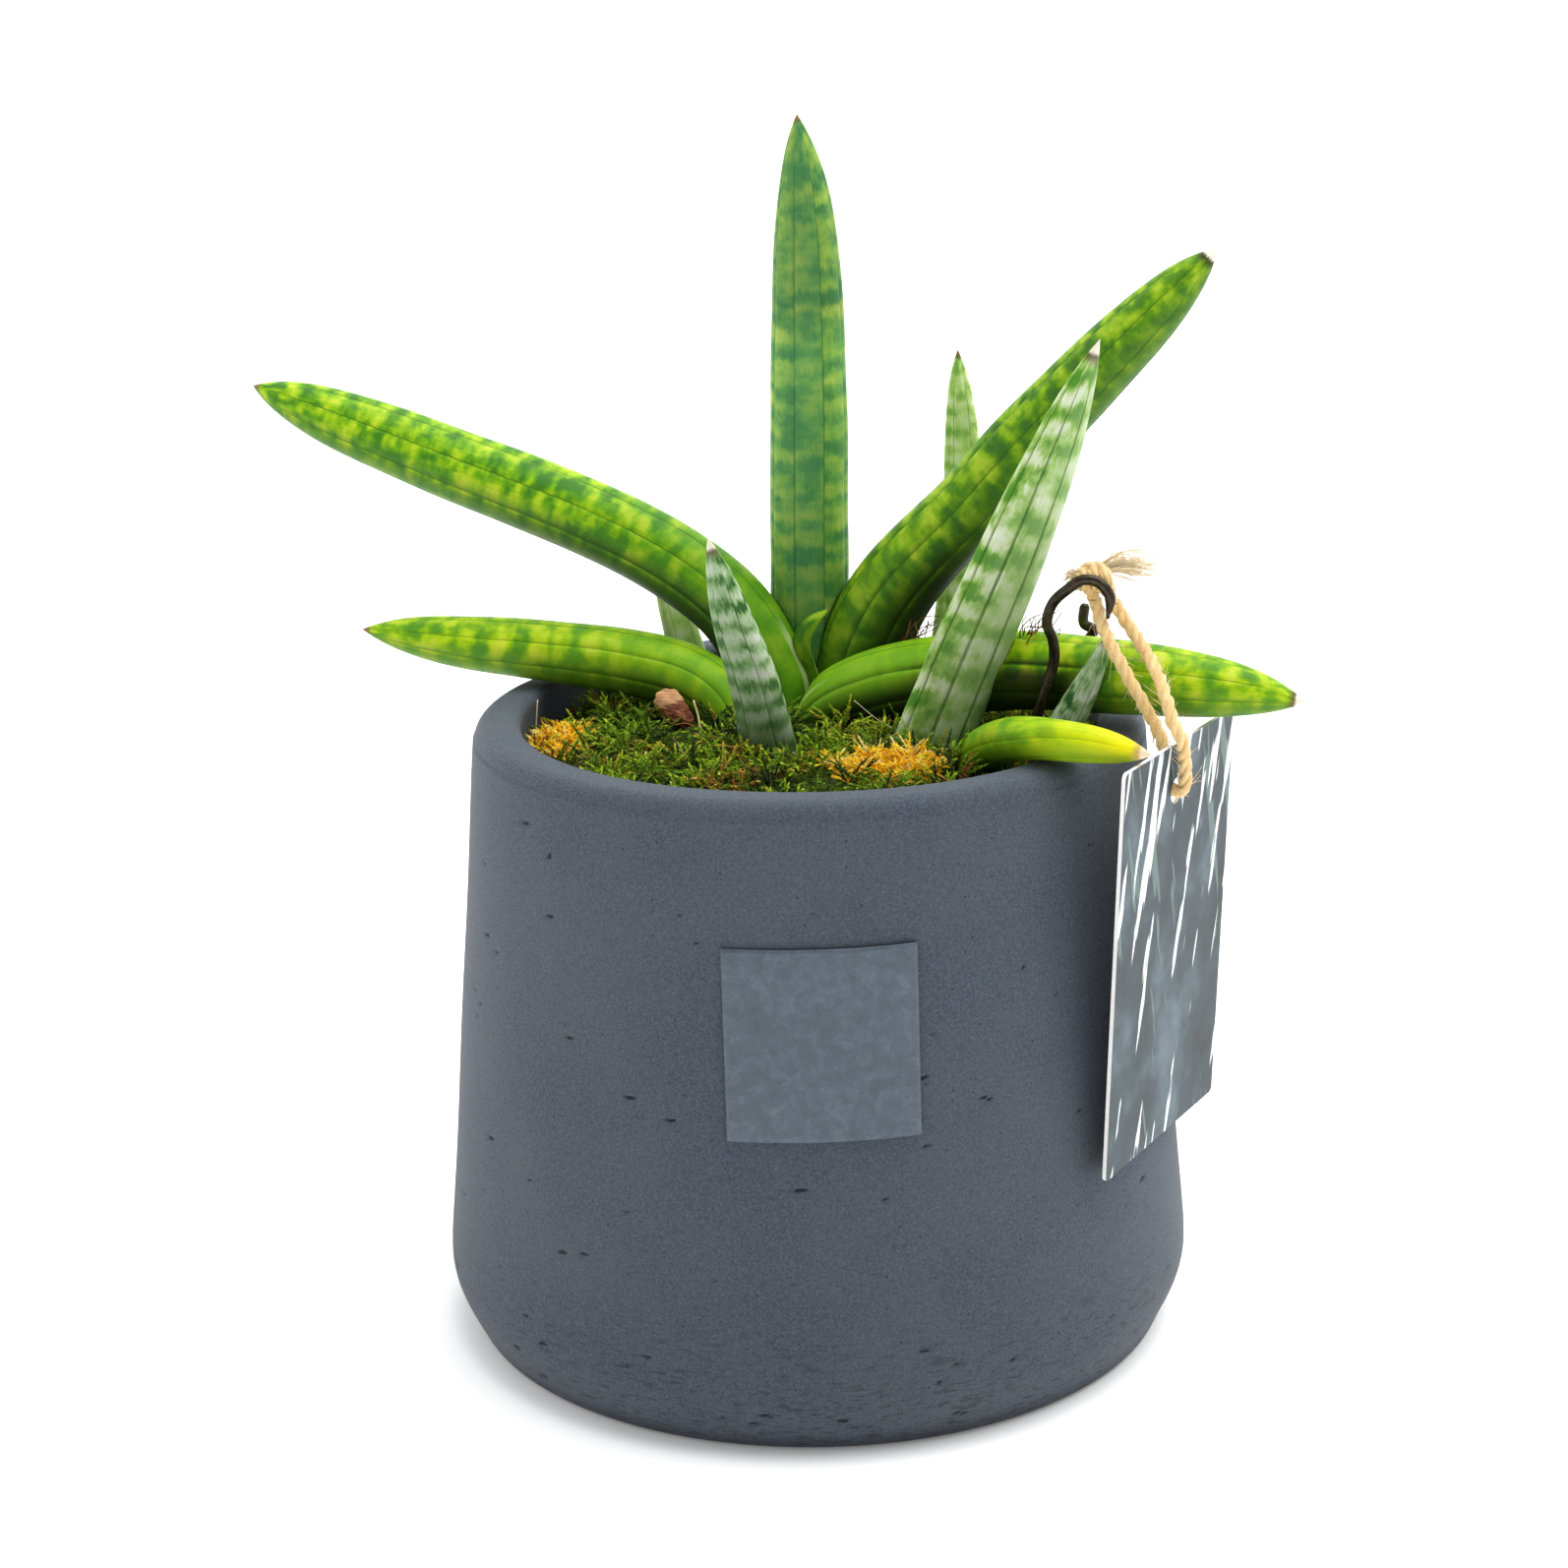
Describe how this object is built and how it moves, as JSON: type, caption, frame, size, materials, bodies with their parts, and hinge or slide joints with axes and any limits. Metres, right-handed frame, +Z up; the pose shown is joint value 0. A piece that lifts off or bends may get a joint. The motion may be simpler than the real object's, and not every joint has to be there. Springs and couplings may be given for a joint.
{
  "type": "potted boncellensis snake plant",
  "caption": "Young boncellensis snake plant with thick banded leaves in a mossy fibre-clay pot, with a card hung from a wire hook by a loop of twine.",
  "frame": {"origin": "centre of the pot's flat underside, on the surface that it stands on", "axes": "+Z up; -Y towards the side with the sticker and the card; +X to the right of a viewer in front"},
  "size_m": [0.222, 0.1596, 0.2525],
  "materials": {
    "pot": "matte fibre clay, finely pitted",
    "sticker": "clear film",
    "soil": "loose potting mix of bark and peat",
    "rhizome": "fleshy stem",
    "moss_mat": "tufted live moss",
    "dry_moss_front": "dried moss",
    "dry_moss_left": "dried moss",
    "bark_chip": "rough bark",
    "leaf_centre": "waxy leaf with cross bands",
    "leaf_left_upper": "waxy leaf with cross bands",
    "leaf_left_lower": "waxy leaf with cross bands",
    "leaf_right_upper": "waxy leaf with cross bands",
    "leaf_right_lower": "waxy leaf with cross bands",
    "leaf_front_mottled": "waxy leaf with silver bands",
    "leaf_front_small": "waxy leaf with silver bands",
    "leaf_front_short": "waxy leaf, yellowing to its tip",
    "leaf_back_small": "waxy leaf with silver bands",
    "leaf_behind_left": "waxy leaf with silver bands",
    "leaf_right_small": "waxy leaf with silver bands",
    "sheath_scale": "thin waxy scale",
    "hook": "dark brown wire",
    "twine": "hairy jute",
    "twine_knot": "hairy jute",
    "tag": "satin print on card"
  },
  "bodies": {
    "root": {"pot": "pot", "sticker": "sticker", "soil": "soil", "rhizome": "rhizome", "moss_mat": "moss_mat", "dry_moss_front": "dry_moss_front", "dry_moss_left": "dry_moss_left", "bark_chip": "bark_chip", "leaf_centre": "leaf_centre", "leaf_left_upper": "leaf_left_upper", "leaf_left_lower": "leaf_left_lower", "leaf_right_upper": "leaf_right_upper", "leaf_right_lower": "leaf_right_lower", "leaf_front_mottled": "leaf_front_mottled", "leaf_front_small": "leaf_front_small", "leaf_front_short": "leaf_front_short", "leaf_back_small": "leaf_back_small", "leaf_behind_left": "leaf_behind_left", "leaf_right_small": "leaf_right_small", "sheath_scale": "sheath_scale", "hook": "hook", "twine": "twine", "twine_knot": "twine_knot", "tag": "tag"}
  },
  "joints": []
}
